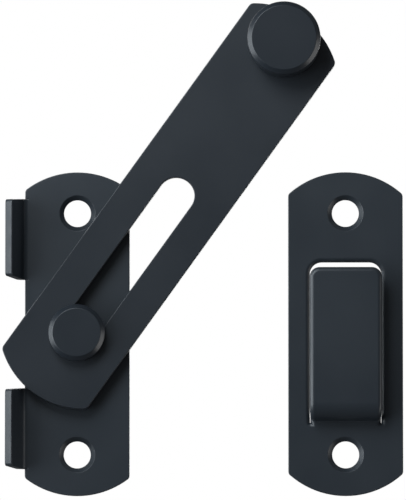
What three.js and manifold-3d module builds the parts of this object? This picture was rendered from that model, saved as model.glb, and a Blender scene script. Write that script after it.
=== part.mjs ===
// Flip latch: a slotted bar swings on a headed stud and drops into an upturned hook.
// Millimetres, +Z up. The door lies behind the plane Y = 0 and the latch stands out towards -Y.
// The origin is where the stud's axis meets the back of the base plate.
import * as THREE from 'three';
import { mergeVertices } from 'three/addons/utils/BufferGeometryUtils.js';
import Module from 'manifold-3d';

const wasm = await Module();
wasm.setup();

// ---- driving dimensions -------------------------------------------------------------------

const sheet = 1.5;              // thickness of both plates
const plateLength = 65;
const plateEndRadius = 17;      // bulged ends of both plates
const plateCorner = 1.0;

const baseWidth = 21;
const keeperWidth = 23;
const keeperX = 53.8;           // keeper's centre line, from the stud

const screwInset = 8.25;        // from a plate's end to its screw hole
const screwHoleRadius = 2.7;
const screwSinkRadius = 3.6;    // rim of the countersink

const tabPlay = 0.4;            // on each side of the bar's tail, between the two tabs
const tabEndInset = 5.4;        // from the plate's end to the tab's far end
const tabLean = 20;             // degrees outwards from square
const tabBendRadius = 1.0;      // inside
const tabRise = 6.0;            // straight part past the bend
const tabInset = 0.6;           // the bend starts this far inside the plate's edge
const tabTaper = 0.4;           // each end narrows by this much towards the tip
const tabCorner = 0.7;

const barWidth = 21;
const barThickness = 2.0;
const barTail = 14.8;           // from the stud back to the bar's tail
const barReach = 77.8;          // from the stud to the bar's far end
const barEndRadius = 17;
const barCorner = 1.3;
const barAngle = 54.25;         // degrees above level
const slotTravel = 34;          // the bar can slide this far along its slot
const slotPlay = 0.45;          // all round the stud

const studRadius = 3.2;         // where it passes through the slot
const studShoulder = 0.7;       // the tail riveted through the base plate is thinner by this
const studHeadRim = 2.45;       // the head is wider than the stud by this, all round
const studHeadHeight = 2.4;
const studHeadRound = 0.5;

const knobInset = 6.0;          // from the bar's far end to the knob's axis
const knobOffset = 0.6;         // off the bar's centre line, towards its upper edge
const knobRadius = 7.3;
const knobHeight = 8.0;
const knobRound = 0.8;
const knobSpigotRadius = 2.0;
const knobSeatGap = 0.3;        // between the knob and the bar's face

const spacerThickness = 0.8;    // plain washer behind the bar
const spacerWall = 1.7;         // from its bore to its rim
const waveSheet = 0.3;          // wave washer under the stud's head
const waveHeight = 0.15;        // each wave rises and falls this far from the middle
const waveWall = 1.5;
const waveCount = 3;

const windowWidth = 14.3;       // opening that the hook is bent out of
const windowTopInset = 9.85;    // from the upper screw hole's axis down to the window
const windowFootInset = 6.45;   // from the lower screw hole's axis up to where the hook leaves
const windowCorner = 2.4;
const windowFootCorner = 0.3;
const hookSideGap = 0.03;       // the shear's, on each side of the hook in its window
const hookPlay = 0.5;           // between the bar's face and the back of the hook's lip
const hookFootBend = 0.4;       // inside, where the hook leaves the plate
const hookLipBend = 2.0;        // inside, where it turns up
const hookTopGap = 1.25;        // between the lip's free end and the window's top edge
const hookTipCorner = 2.0;
const hookNeckInset = 0.25;     // at the foot, where the corners are taken off
const hookNeckCorner = 1.6;

const runningGap = 0.1;         // between a moving face and its neighbour
const rivetGap = 0.05;          // round a riveted tail
const rivetFlare = 0.8;         // how far a peened tail spreads, at 45 degrees
const washerPlay = 0.3;         // round the stud

const roundSteps = 48;          // segments of a full circle
const arcSteps = 12;            // THREE uses twice this for each arc of an outline

// ---- sizes that follow from those above ----------------------------------------------------

const screwSpacing = plateLength - 2 * screwInset;
const tabGap = barWidth + 2 * tabPlay;
const tabLength = (plateLength - tabGap) / 2 - tabEndInset;
const knobDistance = barReach - knobInset;
const slotRadius = studRadius + slotPlay;
const studTailRadius = studRadius - studShoulder;
const studHeadRadius = studRadius + studHeadRim;
const washerBore = studRadius + washerPlay;
const spacerRadius = washerBore + spacerWall;
const waveRadius = washerBore + waveWall;
const windowTop = screwSpacing / 2 - windowTopInset;
const windowFoot = -screwSpacing / 2 + windowFootInset;
const hookTip = windowTop - hookTopGap;
const hookWidth = windowWidth - 2 * hookSideGap;
const hookNeckWidth = hookWidth - 2 * hookNeckInset;

// ---- levels above the door, worked out -----------------------------------------------------

const plateFace = sheet;
const spacerFace = plateFace + spacerThickness;
const barBack = spacerFace + runningGap;
const barFace = barBack + barThickness;
const waveMiddle = barFace + runningGap / 2 + waveHeight + waveSheet / 2;
const headUnderside = waveMiddle + waveHeight + waveSheet / 2 + runningGap / 2;
const hookLipBack = barFace + hookPlay;

// ---- finishes ----------------------------------------------------------------------------

const finish = (color, roughness, metalness) =>
  new THREE.MeshStandardMaterial({ color, roughness, metalness });
const plateBlack = finish(0x33383c, 0.45, 0.3);
const barBlack = finish(0x30353b, 0.42, 0.3);
const turnedBlack = finish(0x32373d, 0.38, 0.35);
const springSteel = finish(0x8b8f93, 0.35, 0.95);
const blackNylon = finish(0x17181a, 0.6, 0.0);

// ---- helpers -----------------------------------------------------------------------------

// A shape drawn as (X, Z) and given a depth: the depth comes forward, towards -Y.
const standUp = new THREE.Matrix4().set(1, 0, 0, 0, 0, 0, -1, 0, 0, 1, 0, 0, 0, 0, 0, 1);
// A section drawn as (Y, Z): its depth runs along +X.
const runAlongX = new THREE.Matrix4().set(0, 0, 1, 0, 1, 0, 0, 0, 0, 1, 0, 0, 0, 0, 0, 1);
// A turned profile: the lathe's axis points forward, towards -Y.
const faceForward = new THREE.Matrix4().set(1, 0, 0, 0, 0, -1, 0, 0, 0, 0, -1, 0, 0, 0, 0, 1);

function extrude(shape, depth) {
  return new THREE.ExtrudeGeometry(shape, { depth, bevelEnabled: false, curveSegments: arcSteps });
}

// A flat piece between two levels above the door, from its outline as (X, Z).
function flat(shape, backLevel, frontLevel) {
  return extrude(shape, frontLevel - backLevel).applyMatrix4(standUp).translate(0, -backLevel, 0);
}

// A section drawn as (Y, Z), run along X between two places.
function alongX(shape, fromX, toX) {
  return extrude(shape, toX - fromX).applyMatrix4(runAlongX).translate(fromX, 0, 0);
}

// A section drawn as (X, Y), run up Z between two heights.
function alongZ(shape, fromZ, toZ) {
  return extrude(shape, toZ - fromZ).translate(0, 0, fromZ);
}

// A turned piece from (radius, level above the door) pairs, listed from its back to its front.
function turned(profile) {
  const points = profile.map(([radius, level]) => new THREE.Vector2(radius, level));
  return new THREE.LatheGeometry(points, roundSteps).applyMatrix4(faceForward);
}

// The closed body of a geometry, ready to be joined or cut.
function solid(geometry) {
  const bare = geometry.clone();
  bare.deleteAttribute('normal');
  bare.deleteAttribute('uv');
  const merged = mergeVertices(bare, 1e-5);
  const corners = merged.index.array;
  const kept = [];
  for (let i = 0; i < corners.length; i += 3) {
    const [a, b, c] = [corners[i], corners[i + 1], corners[i + 2]];
    if (a !== b && b !== c && c !== a) kept.push(a, b, c);
  }
  return new wasm.Manifold(new wasm.Mesh({
    numProp: 3,
    vertProperties: Float32Array.from(merged.attributes.position.array),
    triVerts: Uint32Array.from(kept),
  }));
}

function geometryOf(body) {
  const mesh = body.getMesh();
  const geometry = new THREE.BufferGeometry();
  geometry.setAttribute('position', new THREE.BufferAttribute(mesh.vertProperties, 3));
  geometry.setIndex(new THREE.BufferAttribute(mesh.triVerts, 1));
  geometry.computeVertexNormals();
  return geometry;
}

function piece(name, body, material) {
  const mesh = new THREE.Mesh(geometryOf(body), material);
  mesh.name = name;
  return mesh;
}

// ---- outlines ----------------------------------------------------------------------------

// A strip with straight sides and bulged ends, its corners rounded. It runs along its own
// second coordinate, from low to high.
function bulgedStrip(width, low, high, endRadius, corner) {
  const reach = endRadius - corner;
  const side = width / 2 - corner;
  const rise = Math.sqrt(reach ** 2 - side ** 2);
  const turn = Math.atan2(rise, side);
  const top = high - endRadius;
  const bottom = low + endRadius;
  const outline = new THREE.Shape();
  outline.absarc(side, top + rise, corner, 0, turn, false);
  outline.absarc(0, top, endRadius, turn, Math.PI - turn, false);
  outline.absarc(-side, top + rise, corner, Math.PI - turn, Math.PI, false);
  outline.absarc(-side, bottom - rise, corner, Math.PI, Math.PI + turn, false);
  outline.absarc(0, bottom, endRadius, Math.PI + turn, 2 * Math.PI - turn, false);
  outline.absarc(side, bottom - rise, corner, 2 * Math.PI - turn, 2 * Math.PI, false);
  return outline;
}

// A rectangle whose upper corners have one radius and whose lower corners have another.
function roundedPanel(width, low, high, lowCorner, highCorner) {
  const side = width / 2;
  const outline = new THREE.Shape();
  outline.absarc(side - highCorner, high - highCorner, highCorner, 0, Math.PI / 2, false);
  outline.absarc(-side + highCorner, high - highCorner, highCorner, Math.PI / 2, Math.PI, false);
  outline.absarc(-side + lowCorner, low + lowCorner, lowCorner, Math.PI, 1.5 * Math.PI, false);
  outline.absarc(side - lowCorner, low + lowCorner, lowCorner, 1.5 * Math.PI, 2 * Math.PI, false);
  return outline;
}

// A quarter round that eases a turned edge, from the side wall to the front face.
function roundedEdge(radius, frontLevel, round) {
  const steps = arcSteps / 2;
  const points = [];
  for (let i = 0; i <= steps; i += 1) {
    const angle = (i / steps) * (Math.PI / 2);
    points.push([
      radius - round + round * Math.cos(angle),
      frontLevel - round + round * Math.sin(angle),
    ]);
  }
  return points;
}

// A washer's closed section.
function ring(bore, radius, backLevel, frontLevel) {
  return [
    [bore, backLevel], [radius, backLevel], [radius, frontLevel], [bore, frontLevel],
    [bore, backLevel],
  ];
}

// ---- cutting tools -----------------------------------------------------------------------

const overcut = 1;              // how far a cutting tool runs past a face

function screwHole(height) {
  const sinkDepth = screwSinkRadius - screwHoleRadius;
  return solid(turned([
    [0, -overcut], [screwHoleRadius, -overcut], [screwHoleRadius, plateFace - sinkDepth],
    [screwSinkRadius + overcut, plateFace + overcut], [0, plateFace + overcut],
  ]).translate(0, 0, height));
}

// A hole for a tail that is peened into a countersink on the piece's back.
function rivetHole(radius, backLevel, frontLevel) {
  const bore = radius + rivetGap;
  return turned([
    [0, backLevel - overcut], [bore + rivetFlare + overcut, backLevel - overcut],
    [bore, backLevel + rivetFlare], [bore, frontLevel + overcut], [0, frontLevel + overcut],
  ]);
}

// The profile of the peened tail itself: a flared foot flush with the back face, up to where
// it meets the thicker part.
function rivetTail(radius, backLevel, frontLevel) {
  return [
    [0, backLevel], [radius + rivetFlare - rivetGap, backLevel],
    [radius, backLevel + rivetFlare], [radius, frontLevel],
  ];
}

// ---- base plate --------------------------------------------------------------------------

// The tab's section as (X, Y): the sheet leaves the plate, bends forward and leans outwards.
function tabSection() {
  const outer = tabBendRadius + sheet;
  const bendX = -baseWidth / 2 + tabInset;
  const bendY = -outer;
  const sweep = THREE.MathUtils.degToRad(90 - tabLean);
  const endAngle = Math.PI / 2 + sweep;
  const along = new THREE.Vector2(-Math.sin(endAngle), Math.cos(endAngle))
    .multiplyScalar(tabRise);
  const innerEnd = new THREE.Vector2(Math.cos(endAngle), Math.sin(endAngle))
    .multiplyScalar(tabBendRadius);
  const outerEnd = new THREE.Vector2(Math.cos(endAngle), Math.sin(endAngle))
    .multiplyScalar(outer);
  const section = new THREE.Shape();
  section.moveTo(bendX + overcut, 0);
  section.absarc(bendX, bendY, outer, Math.PI / 2, endAngle, false);
  section.lineTo(bendX + outerEnd.x + along.x, bendY + outerEnd.y + along.y);
  section.lineTo(bendX + innerEnd.x + along.x, bendY + innerEnd.y + along.y);
  section.absarc(bendX, bendY, tabBendRadius, endAngle, Math.PI / 2, true);
  section.lineTo(bendX + overcut, -sheet);
  return section;
}

// The tab seen from its side, as (Y, Z): full length at the bend, tapered and rounded at the tip.
function tabFace(low, high) {
  const rootY = -(sheet + tabBendRadius);
  const tipLevel = rootY - tabRise * Math.cos(THREE.MathUtils.degToRad(tabLean));
  const tipY = tipLevel + tabBendRadius * Math.sin(THREE.MathUtils.degToRad(tabLean));
  const face = new THREE.Shape();
  face.moveTo(overcut, low);
  face.lineTo(rootY, low);
  face.lineTo(tipY + tabCorner, low + tabTaper);
  face.quadraticCurveTo(tipY, low + tabTaper, tipY, low + tabTaper + tabCorner);
  face.lineTo(tipY, high - tabTaper - tabCorner);
  face.quadraticCurveTo(tipY, high - tabTaper, tipY + tabCorner, high - tabTaper);
  face.lineTo(rootY, high);
  face.lineTo(overcut, high);
  return face;
}

function basePlate() {
  const half = plateLength / 2;
  const outline = bulgedStrip(baseWidth, -half, half, plateEndRadius, plateCorner);
  let body = solid(flat(outline, 0, plateFace));
  const bendX = -baseWidth / 2 + tabInset;
  const farX = bendX - tabRise - 2 * sheet;
  for (const side of [-1, 1]) {
    const near = side * tabGap / 2;
    const far = side * (tabGap / 2 + tabLength);
    const low = Math.min(near, far);
    const high = Math.max(near, far);
    const edge = new THREE.Shape([
      new THREE.Vector2(farX, -sheet - overcut), new THREE.Vector2(bendX, -sheet - overcut),
      new THREE.Vector2(bendX, overcut), new THREE.Vector2(farX, overcut),
    ]);
    const tab = solid(alongZ(tabSection(), low, high))
      .intersect(solid(alongX(tabFace(low, high), farX, bendX + overcut)));
    body = body.subtract(solid(alongZ(edge, low, high))).add(tab);
    body = body.subtract(screwHole(side * screwSpacing / 2));
  }
  return body.subtract(solid(rivetHole(studTailRadius, 0, plateFace)));
}

// ---- keeper ------------------------------------------------------------------------------

// The hook's section as (Y, Z): out of the plate at its foot, forward as a floor, then up.
function hookSection() {
  const footOuter = hookFootBend + sheet;
  const footY = -footOuter;
  const lipY = -hookLipBack;
  const turnY = lipY + hookLipBend;
  const turnZ = windowFoot + footOuter + hookLipBend;
  const section = new THREE.Shape();
  section.moveTo(0, windowFoot - overcut);
  section.absarc(footY, windowFoot, footOuter, 0, Math.PI / 2, false);
  section.absarc(turnY, turnZ, hookLipBend, 1.5 * Math.PI, Math.PI, true);
  section.lineTo(lipY, hookTip);
  section.lineTo(lipY - sheet, hookTip);
  section.absarc(turnY, turnZ, hookLipBend + sheet, Math.PI, 1.5 * Math.PI, false);
  section.absarc(footY, windowFoot, hookFootBend, Math.PI / 2, 0, true);
  section.lineTo(-sheet, windowFoot - overcut);
  return section;
}

// The hook seen from the front, as (X, Z): a lip with rounded corners on a narrower neck.
function hookFace() {
  const neck = hookNeckWidth / 2;
  const side = hookWidth / 2;
  const shoulder = windowFoot + hookFootBend + hookNeckCorner;
  const face = new THREE.Shape();
  face.moveTo(-neck, windowFoot - 2 * overcut);
  face.lineTo(neck, windowFoot - 2 * overcut);
  face.lineTo(neck, shoulder - hookNeckCorner);
  face.quadraticCurveTo(side, shoulder - hookNeckCorner / 2, side, shoulder + hookNeckCorner);
  face.absarc(side - hookTipCorner, hookTip - hookTipCorner, hookTipCorner, 0, Math.PI / 2);
  face.absarc(-side + hookTipCorner, hookTip - hookTipCorner, hookTipCorner, Math.PI / 2, Math.PI);
  face.lineTo(-side, shoulder + hookNeckCorner);
  face.quadraticCurveTo(-side, shoulder - hookNeckCorner / 2, -neck, shoulder - hookNeckCorner);
  return face;
}

function keeperPlate() {
  const half = plateLength / 2;
  const outline = bulgedStrip(keeperWidth, -half, half, plateEndRadius, plateCorner);
  const opening = roundedPanel(
    windowWidth, windowFoot, windowTop, windowFootCorner, windowCorner,
  );
  const strap = solid(alongX(hookSection(), -hookWidth, hookWidth))
    .intersect(solid(flat(hookFace(), -overcut, hookLipBack + sheet + overcut)));
  let body = solid(flat(outline, 0, plateFace))
    .subtract(solid(flat(opening, -overcut, plateFace + overcut)))
    .add(strap);
  for (const side of [-1, 1]) body = body.subtract(screwHole(side * screwSpacing / 2));
  return body;
}

// ---- stud and washers --------------------------------------------------------------------

function pivotStud() {
  const top = headUnderside + studHeadHeight;
  return solid(turned([
    ...rivetTail(studTailRadius, 0, plateFace),
    [studRadius, plateFace], [studRadius, headUnderside], [studHeadRadius, headUnderside],
    ...roundedEdge(studHeadRadius, top, studHeadRound),
    [0, top],
  ]));
}

function spacerWasher() {
  return solid(turned(ring(washerBore, spacerRadius, plateFace, spacerFace)));
}

function waveWasher() {
  const flatRing = ring(
    washerBore, waveRadius, waveMiddle - waveSheet / 2, waveMiddle + waveSheet / 2,
  );
  const geometry = turned(flatRing);
  const place = geometry.attributes.position;
  for (let i = 0; i < place.count; i += 1) {
    const around = Math.atan2(place.getZ(i), place.getX(i));
    place.setY(i, place.getY(i) + waveHeight * Math.cos(waveCount * around));
  }
  return solid(geometry);
}

// ---- bar and knob, lying level along +X ----------------------------------------------------

function slideBar() {
  const outline = bulgedStrip(barWidth, -barTail, barReach, barEndRadius, barCorner);
  const slot = new THREE.Path();
  slot.absarc(0, 0, slotRadius, Math.PI, 2 * Math.PI, false);
  slot.absarc(0, slotTravel, slotRadius, 0, Math.PI, false);
  outline.holes.push(slot);
  const knobHole = rivetHole(knobSpigotRadius, barBack, barFace)
    .translate(knobDistance, 0, knobOffset);
  // The strip is drawn running up Z, so a quarter turn about Y lays it along +X.
  return solid(flat(outline, barBack, barFace).rotateY(Math.PI / 2)).subtract(solid(knobHole));
}

function liftKnob() {
  const seat = barFace + knobSeatGap;
  const top = barFace + knobHeight;
  return solid(turned([
    ...rivetTail(knobSpigotRadius, barBack, seat),
    [knobRadius, seat],
    ...roundedEdge(knobRadius, top, knobRound),
    [0, top],
  ]).translate(knobDistance, 0, knobOffset));
}

// ---- assembly ----------------------------------------------------------------------------

const latch = new THREE.Group();

latch.add(piece('base_plate', basePlate(), plateBlack));
latch.add(piece('spacer_washer', spacerWasher(), blackNylon));
latch.add(piece('wave_washer', waveWasher(), springSteel));
latch.add(piece('pivot_stud', pivotStud(), turnedBlack));

const swing = new THREE.Group();
swing.rotation.y = -THREE.MathUtils.degToRad(barAngle);
swing.add(piece('slide_bar', slideBar(), barBlack));
swing.add(piece('lift_knob', liftKnob(), turnedBlack));
latch.add(swing);

const keeper = piece('keeper_plate', keeperPlate(), plateBlack);
keeper.position.x = keeperX;
latch.add(keeper);

export default latch;
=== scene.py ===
# Flip latch: a slotted bar on a headed stud, between two bent tabs, and a keeper with a hook.
# Lengths are in millimetres up to the point where a mesh is written, in metres.
# The door lies behind Y = 0 and the latch stands out towards -Y, so "level" is -Y.
import math

import bmesh
import bpy
from mathutils import Matrix, Vector
from mathutils.geometry import delaunay_2d_cdt


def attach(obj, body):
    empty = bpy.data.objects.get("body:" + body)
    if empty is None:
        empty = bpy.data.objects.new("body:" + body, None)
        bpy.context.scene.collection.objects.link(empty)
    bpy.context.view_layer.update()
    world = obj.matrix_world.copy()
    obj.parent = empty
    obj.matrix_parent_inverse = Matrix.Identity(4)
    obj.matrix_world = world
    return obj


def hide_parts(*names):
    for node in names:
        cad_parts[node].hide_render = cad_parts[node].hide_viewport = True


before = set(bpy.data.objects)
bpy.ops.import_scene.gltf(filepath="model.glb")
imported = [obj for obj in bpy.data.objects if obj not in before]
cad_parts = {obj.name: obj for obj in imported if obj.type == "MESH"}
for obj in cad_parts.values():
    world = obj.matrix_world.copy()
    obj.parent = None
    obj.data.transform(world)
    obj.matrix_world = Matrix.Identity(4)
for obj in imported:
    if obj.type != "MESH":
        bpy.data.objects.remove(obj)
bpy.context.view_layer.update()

MM = 0.001

# ---- sizes of the pieces -------------------------------------------------------------------

SHEET = 1.5
PLATE_HALF = 32.5
PLATE_END_RADIUS = 17.0
PLATE_CORNER = 1.0
BASE_WIDTH = 21.0
KEEPER_WIDTH = 23.0
KEEPER_X = 53.8
SCREW_PLACES = (-24.25, 24.25)
SCREW_HOLE = 2.7
SCREW_SINK = 0.9                  # how much wider the rim of the countersink is

TAB_NEAR, TAB_FAR = 10.9, 27.1    # ends of a tab, from the middle of the plate
TAB_BEND_X = -9.9
TAB_TURN, TAB_BEND = 70.0, 1.0      # degrees, and the radius inside the bend
TAB_RISE = 6.0
TAB_TAPER = 0.4
TAB_CORNER = 0.7
TAB_NOTCH = 0.03                  # the shear's relief at each end of a tab

BAR_WIDTH = 21.0
BAR_TAIL, BAR_REACH = 14.8, 77.8
BAR_CORNER = 1.3
BAR_ANGLE = 54.25
BAR_BACK, BAR_FACE = 2.4, 4.4
SLOT_RADIUS = 3.65
SLOT_TRAVEL = 34.0

STUD_RADIUS, STUD_TAIL, STUD_HEAD = 3.2, 2.5, 5.65
HEAD_UNDERSIDE, HEAD_TOP = 5.1, 7.5
KNOB_ALONG, KNOB_ASIDE = 71.8, 0.6
KNOB_RADIUS, KNOB_SPIGOT = 7.3, 2.0
KNOB_SEAT, KNOB_TOP = 4.7, 12.4
RIVET_GAP, RIVET_FLARE = 0.05, 0.8

WASHER_BORE = 3.5
SPACER_RADIUS, SPACER_FACE = 5.2, 2.3
WAVE_RADIUS, WAVE_MIDDLE, WAVE_SHEET = 5.0, 4.75, 0.3
WAVE_HEIGHT, WAVE_COUNT = 0.15, 3

WINDOW_HALF, WINDOW_TOP, WINDOW_FOOT = 7.15, 14.4, -17.8
WINDOW_CORNER = 2.4
HOOK_HALF, HOOK_NECK_HALF = 7.12, 7.06
HOOK_TIP, HOOK_TIP_CORNER = 13.15, 2.0
HOOK_FOOT_BEND, HOOK_LIP_BEND = 0.4, 2.0
HOOK_SPREAD = 0.020               # the lip is drawn wider than its blank by this share, so that
                                  # no light shows in the narrow slits beside it
HOOK_FLOOR = 1.0                  # the flat part of the hook's floor
HOOK_LIP_FOOT = -13.9             # where the lip leaves its bend

FRONT_ROUND = 0.18
PIERCED_ROUND = 0.95              # rolled edge that the punch leaves round the window and hook
BACK_ROUND = 0.12
TURNED_CHAMFER = 0.85
ARC_STEPS = 5                     # facets in a rounded edge, for a right-angled turn
BEND_STEPS = 10

BODY_FIXED, BODY_BAR = "mounted_plates", "bar"

# ---- outlines, drawn flat as lists of points -----------------------------------------------


def arc(centre, radius, start, end, steps):
    """Points on an arc, its two ends included. Angles are in radians."""
    return [
        (centre[0] + radius * math.cos(start + (end - start) * i / steps),
         centre[1] + radius * math.sin(start + (end - start) * i / steps))
        for i in range(steps + 1)
    ]


def circle(centre, radius, steps=48):
    """A round hole's outline. Holes run clockwise, so that metal is always on the left."""
    return arc(centre, radius, 2 * math.pi, 0, steps)[:-1]


def bulged_end(width, tip, end_radius, corner):
    """The upper end of a plate or bar: a wide arc between two rounded corners, right to left."""
    reach, side = end_radius - corner, width / 2 - corner
    rise = math.sqrt(reach ** 2 - side ** 2)
    turn = math.atan2(rise, side)
    middle = tip - end_radius
    points = arc((side, middle + rise), corner, 0, turn, 8)
    points += arc((0, middle), end_radius, turn, math.pi - turn, 24)[1:-1]
    return points + arc((-side, middle + rise), corner, math.pi - turn, math.pi, 8)


def turned_round(points):
    """The same points after half a turn about the origin."""
    return [(-x, -y) for x, y in points]


def eased(points):
    """Rounds a profile's inner points. Each point is (across, up, radius); the first and last
    are only there to give the directions. Each result is (across, up, normal across, normal
    up), with the normal on the right-hand side of the way the profile runs."""
    result = []
    for before, here, after in zip(points, points[1:], points[2:]):
        p = Vector(here[:2])
        into = (p - Vector(before[:2])).normalized()
        out = (Vector(after[:2]) - p).normalized()
        turn = math.atan2(into.x * out.y - into.y * out.x, into.dot(out))
        radius = here[2]
        cut = radius * math.tan(abs(turn) / 2)
        bend = 1 if turn > 0 else -1
        start = p - into * cut
        centre = start + Vector((-into.y, into.x)) * radius * bend
        steps = max(2, round(ARC_STEPS * abs(turn) / (math.pi / 2)))
        for i in range(steps + 1):
            part_turn = Matrix.Rotation(turn * i / steps, 2)
            normal = part_turn @ Vector((into.y, -into.x))
            place = centre + normal * radius * bend
            result.append((*place, *normal))
    return result


# ---- from profiles to pieces ---------------------------------------------------------------


def finished_piece(name, build, normals, material, body, stands_for):
    """Turns a bmesh in millimetres into a smooth piece that rides on a body."""
    bmesh.ops.recalc_face_normals(build, faces=build.faces)
    mesh = bpy.data.meshes.new(name)
    build.to_mesh(mesh)
    build.free()
    mesh.transform(Matrix.Scale(MM, 4))
    mesh.polygons.foreach_set("use_smooth", [True] * len(mesh.polygons))
    mesh.normals_split_custom_set_from_vertices(normals)
    mesh.materials.append(material)
    piece = bpy.data.objects.new(name, mesh)
    bpy.context.scene.collection.objects.link(piece)
    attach(piece, body)
    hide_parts(stands_for)
    return piece


def edge_profile(thickness, corners=None):
    """A sheet's edge from its back face to its front face, as (outwards, level, normals)."""
    corners = corners or [(0, 0, BACK_ROUND), (0, thickness, FRONT_ROUND)]
    inwards = -9.0                # any place well inside the metal gives the faces' direction
    return eased([(inwards, corners[0][1], 0), *corners, (inwards, corners[-1][1], 0)])


def in_metal(spot, points, edges):
    """True if a line from the spot to the right crosses an odd number of edges."""
    crossings = 0
    for i, j in edges:
        a, b = points[i], points[j]
        if (a.y > spot.y) != (b.y > spot.y):
            crossings += spot.x < a.x + (spot.y - a.y) * (b.x - a.x) / (b.y - a.y)
    return crossings % 2 == 1


def blanked_sheet(loops, thickness, folds=()):
    """A sheet cut to an outline, its edges rolled. Each loop is (points, edge profile), with
    metal on the left of the way the points run. It is drawn as (across, along) and a level
    above its back face; the outline's normals are kept in the layer "lean". Each fold is
    (axis, place), a line where the flat sheet is divided so that it can bend there."""
    build = bmesh.new()
    lean = build.verts.layers.float_vector.new("lean")
    wear_and_highlight_weight = build.verts.layers.float.new("rim")
    back_rings, front_rings = [], []
    for points, profile in loops:
        count = len(points)
        outward = []
        for i in range(count):
            here = Vector(points[i])
            d1 = (here - Vector(points[i - 1])).normalized()
            d2 = (Vector(points[(i + 1) % count]) - here).normalized()
            n1, n2 = Vector((d1.y, -d1.x)), Vector((d2.y, -d2.x))
            outward.append((n1 + n2) / max(0.35, 1 + n1.dot(n2)))
        rings = []
        for out, level, normal_out, normal_up in profile:
            ring = []
            for i in range(count):
                x, y = Vector(points[i]) + outward[i] * out
                vert = build.verts.new((x, y, level))
                side = outward[i].normalized() * normal_out
                vert[lean] = (side.x, side.y, normal_up)
                # the rim weight picks out rounded front edges for the lighter edge tone: partly
                # wear, partly a painted highlight
                vert[wear_and_highlight_weight] = max(0.0, 1 - abs(normal_up)) ** 0.5 if level > thickness / 2 else 0
                ring.append(vert)
            rings.append(ring)
        for low, high in zip(rings, rings[1:]):
            for i in range(count):
                j = (i + 1) % count
                build.faces.new((low[i], low[j], high[j], high[i]))
        back_rings.append(rings[0])
        front_rings.append(rings[-1])
    for rings in (back_rings, front_rings):
        verts = [vert for ring in rings for vert in ring]
        edges, start = [], 0
        for ring in rings:
            edges += [(start + i, start + (i + 1) % len(ring)) for i in range(len(ring))]
            start += len(ring)
        flat = [vert.co.to_2d() for vert in verts]
        made = delaunay_2d_cdt(flat, edges, [], 1, 1e-7)
        source = [original[0] for original in made[3]]
        for corners in made[2]:
            spots = [flat[source[c]] for c in corners]
            if in_metal(sum(spots, Vector((0, 0))) / 3, flat, edges):
                build.faces.new([verts[source[c]] for c in corners])
    for axis, place in folds:
        bmesh.ops.bisect_plane(
            build, geom=build.verts[:] + build.edges[:] + build.faces[:],
            plane_co=[place if a == axis else 0 for a in range(3)],
            plane_no=[1 if a == axis else 0 for a in range(3)], dist=1e-6,
        )
    return build


def follow_bends(bends, distance, level):
    """Where a bent sheet has got to at a distance past its first bend line, measured along its
    middle. Each bend is (degrees towards the front, radius inside, straight run after it).
    Returns how far along, how far forward, and the angle turned."""
    along, forward, angle = 0.0, SHEET / 2, 0.0
    for turn, inside, run in bends:
        middle = inside + SHEET / 2
        sign = 1 if turn > 0 else -1
        step = min(distance, middle * math.radians(abs(turn)))
        new = angle + sign * step / middle
        along += sign * middle * (math.sin(new) - math.sin(angle))
        forward -= sign * middle * (math.cos(new) - math.cos(angle))
        angle, distance = new, distance - step
        step = min(distance, run)
        along, forward = along + step * math.cos(angle), forward + step * math.sin(angle)
        distance -= step
        if distance <= 1e-9:
            break
    off = level - SHEET / 2
    return along - off * math.sin(angle), forward + off * math.cos(angle), angle


def spun(along, forward, angle):
    return (along * math.cos(angle) - forward * math.sin(angle),
            along * math.sin(angle) + forward * math.cos(angle))


def bent_places(place, bends):
    """The lines across a flat strip where its bends begin, run and end."""
    lines, at = [], 0.0
    for turn, inside, run in bends:
        length = (inside + SHEET / 2) * math.radians(abs(turn))
        lines += [at + length * i / BEND_STEPS for i in range(BEND_STEPS + 1)]
        at += length + run
    return [place(line) for line in lines]


# ---- plates with bent tabs and hook --------------------------------------------------------

TAB_BENDS = [(TAB_TURN, TAB_BEND, TAB_RISE)]
LIP_RUN = 40                      # longer than the lip, which ends at its own outline
HOOK_BENDS = [(90, HOOK_FOOT_BEND, HOOK_FLOOR), (-90, HOOK_LIP_BEND, LIP_RUN)]
HOOK_BENT = (HOOK_FOOT_BEND + HOOK_LIP_BEND + SHEET) * math.pi / 2 + HOOK_FLOOR
HOOK_FLAT = HOOK_LIP_FOOT - WINDOW_FOOT     # room that the bends take in the flat drawing

screw_edge = edge_profile(SHEET, [
    (0, 0, BACK_ROUND), (0, SHEET - SCREW_SINK, 0.1), (-SCREW_SINK, SHEET, 0.12),
])


def rivet_edge(thickness):
    """A hole with a countersink at the back, for a peened tail."""
    return edge_profile(thickness, [
        (-RIVET_FLARE, 0, 0.04), (0, RIVET_FLARE, 0.06), (0, thickness, 0.1),
    ])


def tab_outline(sign):
    """One tab, drawn flat, and the notches at its two ends, from top to bottom."""
    length = (TAB_BEND + SHEET / 2) * math.radians(TAB_TURN)
    tip_x = TAB_BEND_X - length - TAB_RISE
    edge = -BASE_WIDTH / 2
    top, foot = (TAB_FAR, TAB_NEAR) if sign > 0 else (-TAB_NEAR, -TAB_FAR)
    high, low = top - TAB_TAPER, foot + TAB_TAPER
    return [
        (edge, top + TAB_NOTCH), (TAB_BEND_X, top + TAB_NOTCH), (TAB_BEND_X, top),
        (TAB_BEND_X - length, top),
        *arc((tip_x + TAB_CORNER, high - TAB_CORNER), TAB_CORNER, math.pi / 2, math.pi, 7),
        *arc((tip_x + TAB_CORNER, low + TAB_CORNER), TAB_CORNER, math.pi, 1.5 * math.pi, 7),
        (TAB_BEND_X - length, foot),
        (TAB_BEND_X, foot), (TAB_BEND_X, foot - TAB_NOTCH), (edge, foot - TAB_NOTCH),
    ]


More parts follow.
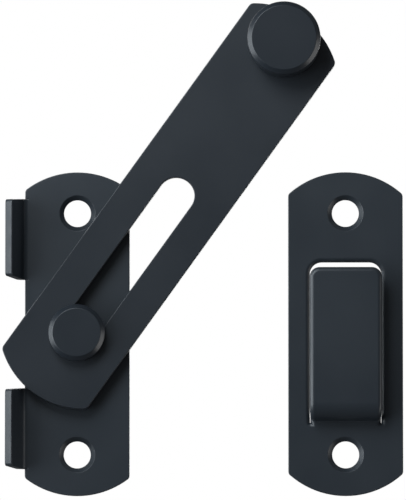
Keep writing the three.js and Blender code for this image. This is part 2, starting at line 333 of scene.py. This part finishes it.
def base_plate(material):
    end = bulged_end(BASE_WIDTH, PLATE_HALF, PLATE_END_RADIUS, PLATE_CORNER)
    outline = end + tab_outline(1) + tab_outline(-1) + turned_round(end)
    loops = [(outline, edge_profile(SHEET))]
    loops += [(circle((0, place), SCREW_HOLE), screw_edge) for place in SCREW_PLACES]
    loops.append((circle((0, 0), STUD_TAIL + RIVET_GAP), rivet_edge(SHEET)))
    lines = bent_places(lambda s: (0, TAB_BEND_X - s), TAB_BENDS)
    build = blanked_sheet(loops, SHEET, lines)
    lean = build.verts.layers.float_vector["lean"]
    normals = []
    for vert in build.verts:
        x, z, level = vert.co
        nx, nz, up = vert[lean].normalized()
        near, far = TAB_NEAR - TAB_NOTCH / 2, TAB_FAR + TAB_NOTCH / 2
        if x < TAB_BEND_X and near < abs(z) < far:
            along, forward, angle = follow_bends(TAB_BENDS, TAB_BEND_X - x, level)
            n_along, n_forward = spun(-nx, up, angle)
            vert.co = (TAB_BEND_X - along, -forward, z)
            normals.append((-n_along, -n_forward, nz))
        else:
            vert.co = (x, -level, z)
            normals.append((nx, -up, nz))
    return finished_piece("base_plate_formed", build, normals, material, BODY_FIXED,
                          "base_plate")


def window_outline():
    """The slot that frees the hook on three sides, up and round the window, then back round
    the hook itself."""
    w, h, neck, c = WINDOW_HALF, HOOK_HALF, HOOK_NECK_HALF, WINDOW_CORNER
    foot_c = (w - neck) / 2
    quarter = math.pi / 2
    window = arc((-w + foot_c, WINDOW_FOOT + foot_c), foot_c, 3 * quarter, 2 * quarter, 5)
    window += arc((-w + c, WINDOW_TOP - c), c, 2 * quarter, quarter, 9)
    window += arc((w - c, WINDOW_TOP - c), c, quarter, 0, 9)
    window += arc((w - foot_c, WINDOW_FOOT + foot_c), foot_c, 0, -quarter, 5)
    low, high = flat_place(0.6 * HOOK_BENT), HOOK_LIP_FOOT + 0.7
    shoulder = []
    for i in range(9):
        t = i / 8
        shoulder.append((
            neck * (1 - t) ** 2 + h * (1 - (1 - t) ** 2),
            low + (high - low) * t ** 1.5,
        ))
    tip_c = HOOK_TIP_CORNER
    right = [(neck, WINDOW_FOOT)] + shoulder
    right += arc((h - tip_c, HOOK_TIP - tip_c), tip_c, 0, quarter, 8)
    left = [(-x, y) for x, y in reversed(right)]
    return window + right + left


def flat_place(distance):
    """Where the hook's strap, a distance past the fold at its foot, lies in the flat drawing."""
    if distance < HOOK_BENT:
        return WINDOW_FOOT + distance * HOOK_FLAT / HOOK_BENT
    return HOOK_LIP_FOOT + distance - HOOK_BENT


def strap_distance(place):
    if place < HOOK_LIP_FOOT:
        return (place - WINDOW_FOOT) * HOOK_BENT / HOOK_FLAT
    return HOOK_BENT + place - HOOK_LIP_FOOT


def on_strap(x, z):
    """True on the hook's side of a line that runs midway between the hook and its window."""
    half, top = (WINDOW_HALF + HOOK_HALF) / 2, (WINDOW_TOP + HOOK_TIP) / 2
    corner = (WINDOW_CORNER + HOOK_TIP_CORNER) / 2
    if not (abs(x) < half and WINDOW_FOOT < z < top):
        return False
    aside, above = abs(x) - (half - corner), z - (top - corner)
    return aside < 0 or above < 0 or math.hypot(aside, above) < corner


def keeper_plate(material):
    end = bulged_end(KEEPER_WIDTH, PLATE_HALF, PLATE_END_RADIUS, PLATE_CORNER)
    loops = [(end + turned_round(end), edge_profile(SHEET)),
             (window_outline(), edge_profile(SHEET, [
                 (0, 0, BACK_ROUND), (0, SHEET, PIERCED_ROUND)]))]
    loops += [(circle((0, place), SCREW_HOLE), screw_edge) for place in SCREW_PLACES]
    lines = bent_places(lambda s: (1, flat_place(s)), HOOK_BENDS)
    build = blanked_sheet(loops, SHEET, lines)
    lean = build.verts.layers.float_vector["lean"]
    normals = []
    for vert in build.verts:
        x, z, level = vert.co
        nx, nz, up = vert[lean].normalized()
        if on_strap(x, z):
            distance = strap_distance(z)
            along, forward, angle = follow_bends(HOOK_BENDS, distance, level)
            x *= 1 + HOOK_SPREAD * min(1, distance / HOOK_BENT)
            n_along, n_forward = spun(nz, up, angle)
            vert.co = (x + KEEPER_X, -forward, WINDOW_FOOT + along)
            normals.append((nx, -n_forward, n_along))
        else:
            vert.co = (x + KEEPER_X, -level, z)
            normals.append((nx, -up, nz))
    return finished_piece("keeper_plate_formed", build, normals, material, BODY_FIXED,
                          "keeper_plate")


# ---- the bar -------------------------------------------------------------------------------

raised = Matrix.Rotation(-math.radians(BAR_ANGLE), 3, "Y")     # from level to its rest angle


def slide_bar(material):
    """The bar is drawn as (across, along) with its back at level 0."""
    thickness = BAR_FACE - BAR_BACK
    far = bulged_end(BAR_WIDTH, BAR_REACH, PLATE_END_RADIUS, BAR_CORNER)
    tail = turned_round(bulged_end(BAR_WIDTH, BAR_TAIL, PLATE_END_RADIUS, BAR_CORNER))
    slot = arc((0, SLOT_TRAVEL), SLOT_RADIUS, math.pi, 0, 32)
    slot += arc((0, 0), SLOT_RADIUS, 0, -math.pi, 32)
    rivet = circle((-KNOB_ASIDE, KNOB_ALONG), KNOB_SPIGOT + RIVET_GAP)
    build = blanked_sheet(
        [(far + tail, edge_profile(thickness)), (slot, edge_profile(thickness)),
         (rivet, rivet_edge(thickness))],
        thickness,
    )
    lean = build.verts.layers.float_vector["lean"]
    normals = []
    for vert in build.verts:
        across, along, level = vert.co
        n_across, n_along, up = vert[lean].normalized()
        vert.co = raised @ Vector((along, -BAR_BACK - level, -across))
        normals.append(raised @ Vector((n_along, -up, -n_across)))
    return finished_piece("slide_bar_blanked", build, normals, material, BODY_BAR,
                          "slide_bar")


# ---- turned pieces and washers -------------------------------------------------------------

TURNED_STEPS = 128


def turned_piece(name, corners, centre, closed, material, body, stands_for, waves=0.0):
    """A piece of revolution about an axis that points forward. Corners are (radius, level,
    rounding), from the back to the front. A closed profile is a washer's; an open one starts
    and ends on the axis. With waves, the piece rises and falls round its circle."""
    if closed:
        profile = eased([corners[-1], *corners, corners[0]])
    else:
        profile = [(0, corners[0][1], 0, -1), *eased(corners), (0, corners[-1][1], 0, 1)]
    build = bmesh.new()
    normals, rings = [], []
    for radius, level, out, up in profile:
        ring = []
        for i in range(TURNED_STEPS if radius > 1e-6 else 1):
            angle = 2 * math.pi * i / TURNED_STEPS
            c, s = math.cos(angle), math.sin(angle)
            lift = waves * math.cos(WAVE_COUNT * angle)
            slope = -waves * WAVE_COUNT * math.sin(WAVE_COUNT * angle) / max(radius, 1.0)
            place = Vector((radius * c, -level - lift, radius * s)) + centre
            normal = Vector((out * c + up * slope * s, -up, out * s - up * slope * c))
            ring.append(build.verts.new(place))
            normals.append(normal.normalized())
        rings.append(ring)
    pairs = list(zip(rings, rings[1:])) + ([(rings[-1], rings[0])] if closed else [])
    for low, high in pairs:
        for i in range(TURNED_STEPS):
            j = (i + 1) % TURNED_STEPS
            corners_here = [low[i % len(low)], low[j % len(low)],
                            high[j % len(high)], high[i % len(high)]]
            build.faces.new(list(dict.fromkeys(corners_here)))
    if body == BODY_BAR:
        turn = raised.to_4x4()
        bmesh.ops.transform(build, matrix=turn, verts=build.verts)
        normals = [raised @ normal for normal in normals]
    return finished_piece(name, build, normals, material, body, stands_for)


def pivot_stud(material):
    tail = STUD_TAIL
    return turned_piece("pivot_stud_turned", [
        (0, 0, 0), (tail + RIVET_FLARE - RIVET_GAP, 0, 0.05), (tail, RIVET_FLARE, 0.05),
        (tail, SHEET, 0.02), (STUD_RADIUS, SHEET, 0.05), (STUD_RADIUS, HEAD_UNDERSIDE, 0.1),
        (STUD_HEAD, HEAD_UNDERSIDE, 0.12), (STUD_HEAD, HEAD_TOP - TURNED_CHAMFER, 0.2),
        (STUD_HEAD - TURNED_CHAMFER, HEAD_TOP, 0.2), (0, HEAD_TOP, 0),
    ], Vector(), False, material, BODY_FIXED, "pivot_stud")


def lift_knob(material):
    spigot = KNOB_SPIGOT
    return turned_piece("lift_knob_turned", [
        (0, BAR_BACK, 0), (spigot + RIVET_FLARE - RIVET_GAP, BAR_BACK, 0.05),
        (spigot, BAR_BACK + RIVET_FLARE, 0.05), (spigot, KNOB_SEAT, 0.05),
        (KNOB_RADIUS, KNOB_SEAT, 0.2), (KNOB_RADIUS, KNOB_TOP - TURNED_CHAMFER, 0.2),
        (KNOB_RADIUS - TURNED_CHAMFER, KNOB_TOP, 0.2), (0, KNOB_TOP, 0),
    ], Vector((KNOB_ALONG, 0, KNOB_ASIDE)), False, material, BODY_BAR, "lift_knob")


def spacer_washer(material):
    return turned_piece("spacer_washer_moulded", [
        (WASHER_BORE, SHEET, 0.1), (SPACER_RADIUS, SHEET, 0.1),
        (SPACER_RADIUS, SPACER_FACE, 0.15), (WASHER_BORE, SPACER_FACE, 0.15),
    ], Vector(), True, material, BODY_FIXED, "spacer_washer")


def wave_washer(material):
    back, front = WAVE_MIDDLE - WAVE_SHEET / 2, WAVE_MIDDLE + WAVE_SHEET / 2
    return turned_piece("wave_washer_sprung", [
        (WASHER_BORE, back, 0.05), (WAVE_RADIUS, back, 0.05),
        (WAVE_RADIUS, front, 0.08), (WASHER_BORE, front, 0.08),
    ], Vector(), True, material, BODY_FIXED, "wave_washer",
        waves=WAVE_HEIGHT)


# ---- finishes ------------------------------------------------------------------------------


def group(name, inputs, outputs):
    """A shader node group. Inputs and outputs are (name, kind, starting value)."""
    tree = bpy.data.node_groups.new(name, "ShaderNodeTree")
    for way, sockets in (("INPUT", inputs), ("OUTPUT", outputs)):
        for label, kind, start in sockets:
            socket = tree.interface.new_socket(label, in_out=way, socket_type=kind)
            if start is not None:
                socket.default_value = start
    return tree, tree.nodes.new("NodeGroupInput"), tree.nodes.new("NodeGroupOutput")


def node(tree, kind, inputs=None, **settings):
    """Adds a node. An input's value is either a socket to link from or a plain value."""
    made = tree.nodes.new(kind)
    for key, value in settings.items():
        setattr(made, key, value)
    for key, value in (inputs or {}).items():
        if isinstance(value, bpy.types.NodeSocket):
            tree.links.new(value, made.inputs[key])
        else:
            made.inputs[key].default_value = value
    return made


def coat_grain_group():
    """Fine grain of a sprayed and baked coat, over a slow drift in its thickness."""
    tree, start, end = group(
        "coat_grain",
        [("Vector", "NodeSocketVector", None), ("Grain per metre", "NodeSocketFloat", 2600.0),
         ("Drift per metre", "NodeSocketFloat", 60.0)],
        [("Height", "NodeSocketFloat", None), ("Tone", "NodeSocketFloat", None)],
    )
    grain = node(tree, "ShaderNodeTexNoise", {
        "Vector": start.outputs["Vector"], "Scale": start.outputs["Grain per metre"],
        "Detail": 3.0, "Roughness": 0.55,
    })
    drift = node(tree, "ShaderNodeTexNoise", {
        "Vector": start.outputs["Vector"], "Scale": start.outputs["Drift per metre"],
        "Detail": 2.0, "Roughness": 0.5,
    })
    shade = node(tree, "ShaderNodeMix", {
        0: 0.35, 2: drift.outputs[0], 3: grain.outputs[0],
    }, data_type="FLOAT")
    tree.links.new(grain.outputs[0], end.inputs["Height"])
    tree.links.new(shade.outputs[0], end.inputs["Tone"])
    return tree


def edge_wear_and_highlight_group():
    """Lightens rounded front edges in a broken line, not a clean one: partly where handling has
    polished the coat, partly a painted highlight along the edges.
    """
    tree, start, end = group(
        "edge_wear_and_highlight",
        [("Vector", "NodeSocketVector", None), ("Edge", "NodeSocketFloat", 0.0),
         ("Amount", "NodeSocketFloat", 0.5)],
        [("Mask", "NodeSocketFloat", None)],
    )
    broken = node(tree, "ShaderNodeTexNoise", {
        "Vector": start.outputs["Vector"], "Scale": 420.0, "Detail": 4.0, "Roughness": 0.6,
    })
    spread = node(tree, "ShaderNodeMapRange", {
        "Value": broken.outputs[0], "From Min": 0.36, "From Max": 0.62,
    })
    on_edge = node(tree, "ShaderNodeMath", {
        0: start.outputs["Edge"], 1: spread.outputs[0],
    }, operation="MULTIPLY")
    mask = node(tree, "ShaderNodeMath", {
        0: on_edge.outputs[0], 1: start.outputs["Amount"],
    }, operation="MULTIPLY", use_clamp=True)
    tree.links.new(mask.outputs[0], end.inputs["Mask"])
    return tree


def new_material(name):
    material = bpy.data.materials.new(name)
    material.use_nodes = True
    tree = material.node_tree
    tree.nodes.clear()
    shader = tree.nodes.new("ShaderNodeBsdfPrincipled")
    out = tree.nodes.new("ShaderNodeOutputMaterial")
    tree.links.new(shader.outputs[0], out.inputs["Surface"])
    place = tree.nodes.new("ShaderNodeTexCoord").outputs["Object"]
    return material, tree, shader, place


def satin_coat(name, dark, light, wear_and_highlight_tone, rough, grain, groups, grain_depth=3e-6, wear_and_highlight=0.5):
    """A satin black coat on steel. Dark and light are the ends of its tone; rough is the pair of
    roughnesses at those ends; the third colour is laid on rounded front edges, partly as
    polished wear and partly as a painted highlight."""
    material, tree, shader, place = new_material(name)
    coat = node(tree, "ShaderNodeGroup", node_tree=groups["grain"])
    tree.links.new(place, coat.inputs["Vector"])
    coat.inputs["Grain per metre"].default_value = grain
    edge = node(tree, "ShaderNodeAttribute", attribute_name="rim")
    wear_and_highlight_node = node(tree, "ShaderNodeGroup", node_tree=groups["wear_and_highlight"])
    tree.links.new(place, wear_and_highlight_node.inputs["Vector"])
    tree.links.new(edge.outputs["Fac"], wear_and_highlight_node.inputs["Edge"])
    wear_and_highlight_node.inputs["Amount"].default_value = wear_and_highlight
    tone = node(tree, "ShaderNodeMix", {
        0: coat.outputs["Tone"], 6: (*dark, 1), 7: (*light, 1),
    }, data_type="RGBA")
    # rounded front edges get the third colour: partly polished wear, partly a painted highlight
    colour = node(tree, "ShaderNodeMix", {
        0: wear_and_highlight_node.outputs["Mask"], 6: tone.outputs[2], 7: (*wear_and_highlight_tone, 1),
    }, data_type="RGBA")
    rough_tone = node(tree, "ShaderNodeMapRange", {
        "Value": coat.outputs["Tone"], "From Min": 0.3, "From Max": 0.7,
        "To Min": rough[0], "To Max": rough[1],
    })
    smooth_edge = node(tree, "ShaderNodeMath", {
        0: wear_and_highlight_node.outputs["Mask"], 1: 0.08,
    }, operation="MULTIPLY")
    roughness = node(tree, "ShaderNodeMath", {
        0: rough_tone.outputs[0], 1: smooth_edge.outputs[0],
    }, operation="SUBTRACT")
    relief = node(tree, "ShaderNodeBump", {
        "Height": coat.outputs["Height"], "Strength": 1.0, "Distance": grain_depth,
    })
    tree.links.new(colour.outputs[2], shader.inputs["Base Color"])
    tree.links.new(roughness.outputs[0], shader.inputs["Roughness"])
    tree.links.new(relief.outputs[0], shader.inputs["Normal"])
    shader.inputs["IOR"].default_value = 1.5
    return material


def spring_steel(groups):
    """Rolled spring steel, left bare, with an oil film's faint drift of tone."""
    material, tree, shader, place = new_material("bare_spring_steel")
    coat = node(tree, "ShaderNodeGroup", node_tree=groups["grain"])
    tree.links.new(place, coat.inputs["Vector"])
    coat.inputs["Grain per metre"].default_value = 5200.0
    tone = node(tree, "ShaderNodeMix", {
        0: coat.outputs["Tone"], 6: (0.30, 0.31, 0.33, 1), 7: (0.46, 0.47, 0.49, 1),
    }, data_type="RGBA")
    rough = node(tree, "ShaderNodeMapRange", {
        "Value": coat.outputs["Tone"], "To Min": 0.24, "To Max": 0.42,
    })
    tree.links.new(tone.outputs[2], shader.inputs["Base Color"])
    tree.links.new(rough.outputs[0], shader.inputs["Roughness"])
    shader.inputs["Metallic"].default_value = 1.0
    return material


def black_nylon(groups):
    """Moulded black nylon: matt, with the mould's spark-eroded texture."""
    material, tree, shader, place = new_material("moulded_black_nylon")
    coat = node(tree, "ShaderNodeGroup", node_tree=groups["grain"])
    tree.links.new(place, coat.inputs["Vector"])
    coat.inputs["Grain per metre"].default_value = 3800.0
    tone = node(tree, "ShaderNodeMix", {
        0: coat.outputs["Tone"], 6: (0.008, 0.008, 0.009, 1), 7: (0.018, 0.018, 0.020, 1),
    }, data_type="RGBA")
    relief = node(tree, "ShaderNodeBump", {
        "Height": coat.outputs["Height"], "Strength": 1.0, "Distance": 1.2e-5,
    })
    tree.links.new(tone.outputs[2], shader.inputs["Base Color"])
    tree.links.new(relief.outputs[0], shader.inputs["Normal"])
    shader.inputs["Roughness"].default_value = 0.62
    return material


# ---- floor, light and camera ---------------------------------------------------------------

CENTRE = Vector((0.0252, 0.0, 0.01695))
CAMERA_DISTANCE, FRAME_HEIGHT = 1.3, 0.10046
CAMERA_AZIMUTH, CAMERA_ELEVATION = 0.5, -4.0
SENSOR_WIDTH = 36.0
FLOOR_LEVEL = -0.90
FLOOR_LAMP_HEIGHT = 0.6           # above the floor, and well below the latch


def direction(azimuth, elevation):
    """From the latch towards a place round it. Azimuth 0 is straight in front, 90 its right."""
    a, e = math.radians(azimuth), math.radians(elevation)
    return Vector((math.sin(a) * math.cos(e), -math.cos(a) * math.cos(e), math.sin(e)))


def softbox(name, azimuth, elevation, distance, width, height, power, colour=(1, 1, 1)):
    light = bpy.data.lights.new(name, "AREA")
    light.shape = "RECTANGLE"
    light.size, light.size_y = width, height
    light.energy = power
    light.color = colour
    lamp = bpy.data.objects.new(name, light)
    towards = direction(azimuth, elevation)
    lamp.location = CENTRE + towards * distance
    lamp.rotation_mode = "QUATERNION"
    lamp.rotation_quaternion = towards.to_track_quat("Z", "Y")
    lamp.visible_camera = False
    bpy.context.scene.collection.objects.link(lamp)


def floor_wash():
    """A wide lamp under the latch that faces down, so that the floor is pale and even."""
    light = bpy.data.lights.new("floor_wash", "AREA")
    light.shape = "SQUARE"
    light.size = 9.0
    light.energy = 185.0
    lamp = bpy.data.objects.new("floor_wash", light)
    lamp.location = (0, 0, FLOOR_LEVEL + FLOOR_LAMP_HEIGHT)
    lamp.visible_camera = False
    bpy.context.scene.collection.objects.link(lamp)


def pale_floor():
    build = bmesh.new()
    bmesh.ops.create_grid(build, x_segments=8, y_segments=8, size=4.0)
    mesh = bpy.data.meshes.new("studio_floor")
    build.to_mesh(mesh)
    build.free()
    floor = bpy.data.objects.new("studio_floor", mesh)
    floor.location = (0, 0, FLOOR_LEVEL)
    bpy.context.scene.collection.objects.link(floor)
    material, tree, shader, place = new_material("pale_paper")
    speck = node(tree, "ShaderNodeTexNoise", {"Vector": place, "Scale": 3.0, "Detail": 2.0})
    tone = node(tree, "ShaderNodeMix", {
        0: speck.outputs[0], 6: (0.80, 0.80, 0.80, 1), 7: (0.84, 0.84, 0.84, 1),
    }, data_type="RGBA")
    tree.links.new(tone.outputs[2], shader.inputs["Base Color"])
    shader.inputs["Roughness"].default_value = 0.9
    mesh.materials.append(material)
    floor.visible_diffuse = False       # the floor throws no light back up on to the latch
    floor.visible_glossy = False


def studio_air(seen, lit):
    """A plain world: the camera sees it as white paper, and the latch is lit by it dimly."""
    world = bpy.data.worlds.new("studio_air")
    bpy.context.scene.world = world
    world.use_nodes = True
    tree = world.node_tree
    tree.nodes.clear()
    path = node(tree, "ShaderNodeLightPath")
    paper = node(tree, "ShaderNodeBackground", {"Color": (1, 1, 1, 1), "Strength": seen})
    room = node(tree, "ShaderNodeBackground", {"Color": (0.92, 0.96, 1, 1), "Strength": lit})
    both = node(tree, "ShaderNodeMixShader", {
        0: path.outputs["Is Camera Ray"], 1: room.outputs[0], 2: paper.outputs[0],
    })
    out = node(tree, "ShaderNodeOutputWorld")
    tree.links.new(both.outputs[0], out.inputs["Surface"])


def camera():
    data = bpy.data.cameras.new("view_camera")
    data.sensor_width = SENSOR_WIDTH
    data.lens = SENSOR_WIDTH * CAMERA_DISTANCE / FRAME_HEIGHT
    data.clip_start, data.clip_end = 0.05, 20.0
    made = bpy.data.objects.new("view_camera", data)
    towards = direction(CAMERA_AZIMUTH, CAMERA_ELEVATION)
    made.location = CENTRE + towards * CAMERA_DISTANCE
    made.rotation_mode = "QUATERNION"
    made.rotation_quaternion = towards.to_track_quat("Z", "Y")
    bpy.context.scene.collection.objects.link(made)
    bpy.context.scene.camera = made


bpy.context.scene.view_settings.view_transform = "Standard"

camera()
pale_floor()
studio_air(1.0, 0.13)
softbox("key_left", -66, 0, 0.8, 0.8, 0.7, 9.4, (0.88, 0.95, 1.0))
softbox("near_fill", -26, 36, 0.30, 0.16, 0.16, 0.62, (0.86, 0.94, 1.0))
softbox("right_strip", 84, -18, 1.0, 0.25, 0.8, 2.4)
softbox("back_fill", 160, 22, 1.0, 0.9, 0.9, 9.0)
softbox("back_left", -140, 15, 1.0, 0.6, 0.9, 5.0)
floor_wash()

groups = {"grain": coat_grain_group(), "wear_and_highlight": edge_wear_and_highlight_group()}
# each coat's third colour lightens its rounded front edges: partly wear, partly a painted
# highlight
plate_coat = satin_coat("plate_coat", (0.0125, 0.0170, 0.0225), (0.0180, 0.0235, 0.0300),
                        (0.045, 0.047, 0.050), (0.36, 0.46), 2600.0, groups)
bar_coat = satin_coat("bar_coat", (0.0090, 0.0125, 0.0170), (0.0135, 0.0175, 0.0230),
                      (0.045, 0.047, 0.050), (0.34, 0.44), 2800.0, groups)
turned_coat = satin_coat("turned_coat", (0.0085, 0.0120, 0.0165), (0.0130, 0.0170, 0.0225),
                         (0.045, 0.047, 0.050), (0.30, 0.38), 3000.0, groups)

base_plate(plate_coat)
keeper_plate(plate_coat)
slide_bar(bar_coat)
pivot_stud(turned_coat)
lift_knob(turned_coat)
spacer_washer(black_nylon(groups))
wave_washer(spring_steel(groups))

bpy.context.view_layer.update()
